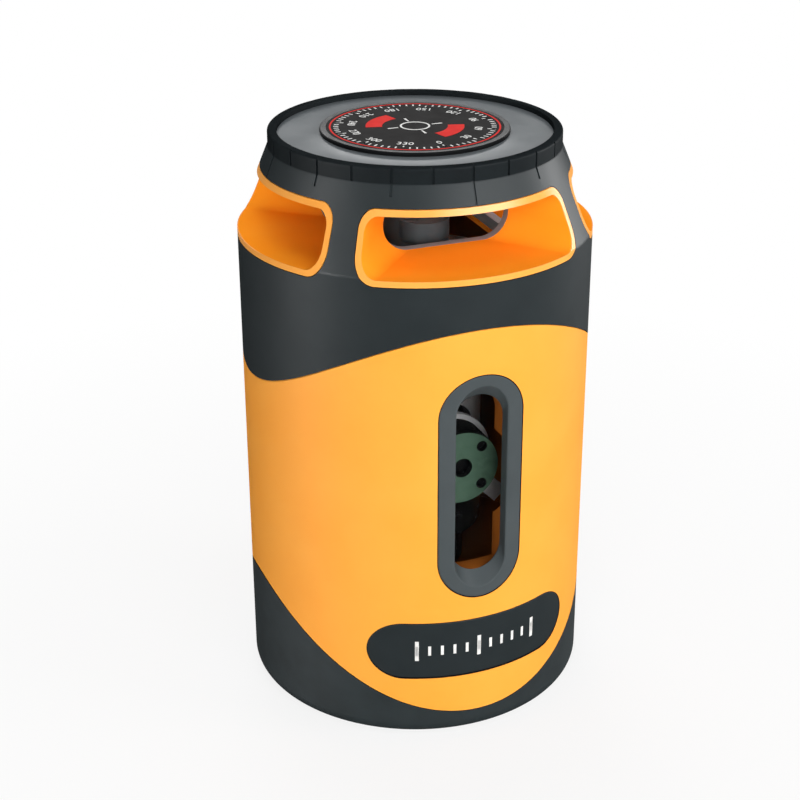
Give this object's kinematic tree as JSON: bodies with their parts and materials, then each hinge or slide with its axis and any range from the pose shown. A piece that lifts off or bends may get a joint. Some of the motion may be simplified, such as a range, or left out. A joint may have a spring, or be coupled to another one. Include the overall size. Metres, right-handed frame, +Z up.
{
  "type": "line laser level",
  "caption": "Can-shaped line laser level with rubber-clad ends, shoulder windows all round for a horizontal line, a front slot for a vertical line and a self-levelling pendulum inside.",
  "frame": {"origin": "centre of the underside, on the surface that the foot stands on", "axes": "+Z up along the can's axis, -Y towards the front slot, +X to the right seen from the front"},
  "size_m": [0.066, 0.066, 0.1105],
  "materials": {
    "orange_abs": "moulded, fine texture",
    "dark_rubber": "overmoulded, fine texture",
    "charcoal_plastic": "moulded, satin",
    "grey_plastic": "moulded, fine texture",
    "black_acrylic": "smooth",
    "printed_film": "printed film",
    "clear_glass": "polished",
    "optical_glass": "polished, coated",
    "brass": "turned",
    "zinc_steel": "zinc plated",
    "bearing_steel": "ground",
    "aluminium": "turned, satin",
    "black_anodised": "anodised, matt",
    "green_anodised": "anodised, matt",
    "blackened_steel": "blackened",
    "copper": "rolled sheet",
    "mirror_coat": "coated cone",
    "magnet_nickel": "nickel plated",
    "board_laminate": "solder mask",
    "cell_wrap": "shrink film",
    "black_plastic": "moulded",
    "lead_rubber": "smooth"
  },
  "bodies": {
    "housing": {"upper_jacket": "dark_rubber", "lower_jacket": "dark_rubber", "body_casing": "orange_abs", "slot_bezel": "charcoal_plastic", "slot_pane": "clear_glass", "front_pad": "dark_rubber", "control_panel": "charcoal_plastic", "inner_chassis": "orange_abs", "window_ring": "orange_abs", "pane_carrier": "grey_plastic", "top_plate": "grey_plastic", "top_disc": "black_acrylic", "top_label": "printed_film", "base_plate": "charcoal_plastic", "tripod_insert": "brass", "base_screws": "zinc_steel", "battery_pack": "cell_wrap", "battery_lead": "lead_rubber", "gimbal_bracket": "aluminium", "bracket_screws": "zinc_steel", "pitch_bearings": "bearing_steel", "magnet_holder": "black_plastic", "damping_magnets": "magnet_nickel", "tact_switch": "black_plastic", "charge_port": "zinc_steel", "main_board": "board_laminate", "board_screws": "zinc_steel", "window_pane_front": "clear_glass", "window_pane_right": "clear_glass", "window_pane_rear": "clear_glass", "window_pane_left": "clear_glass"},
    "gimbal": {"gimbal_ring": "aluminium", "pitch_pins": "bearing_steel", "roll_bearings": "bearing_steel"},
    "pendulum": {"pendulum_column": "aluminium", "roll_pins": "bearing_steel", "module_block": "black_anodised", "trim_screws": "zinc_steel", "balance_weight": "blackened_steel", "damping_plate": "copper", "horizontal_barrel": "black_anodised", "horizontal_lens": "optical_glass", "horizontal_diode": "brass", "prism_sleeve": "clear_glass", "cone_mirror": "mirror_coat", "prism_cap": "black_anodised", "vertical_barrel": "black_anodised", "vertical_front_plate": "green_anodised", "clamp_ring": "aluminium", "vertical_lens": "optical_glass", "vertical_diode": "brass"},
    "lock": {"lock_arm": "zinc_steel", "lock_pad": "lead_rubber", "lock_slider": "black_plastic"},
    "mode_key": {"mode_button": "lead_rubber"},
    "flap": {"port_flap": "dark_rubber"}
  },
  "joints": [
    {"name": "gimbal_pitch", "type": "hinge", "parent": "housing", "child": "gimbal", "pos_m": [0, 0, 0.08], "axis": [1, 0, 0], "range_deg": [-4, 4]},
    {"name": "gimbal_roll", "type": "hinge", "parent": "gimbal", "child": "pendulum", "pos_m": [0, 0, 0.08], "axis": [0, 1, 0], "range_deg": [-4, 4]},
    {"name": "lock_slide", "type": "slide", "parent": "housing", "child": "lock", "axis": [0, 0, 1], "range_m": [0, 0.0045]},
    {"name": "mode_press", "type": "slide", "parent": "housing", "child": "mode_key", "axis": [0, -1, 0], "range_m": [0, 0.0007], "stiffness_N_per_m": 2500},
    {"name": "flap_hinge", "type": "hinge", "parent": "housing", "child": "flap", "pos_m": [0.01108, 0.03045, 0.0289], "axis": [0.9397, -0.342, 0], "range_deg": [0, 90]}
  ]
}
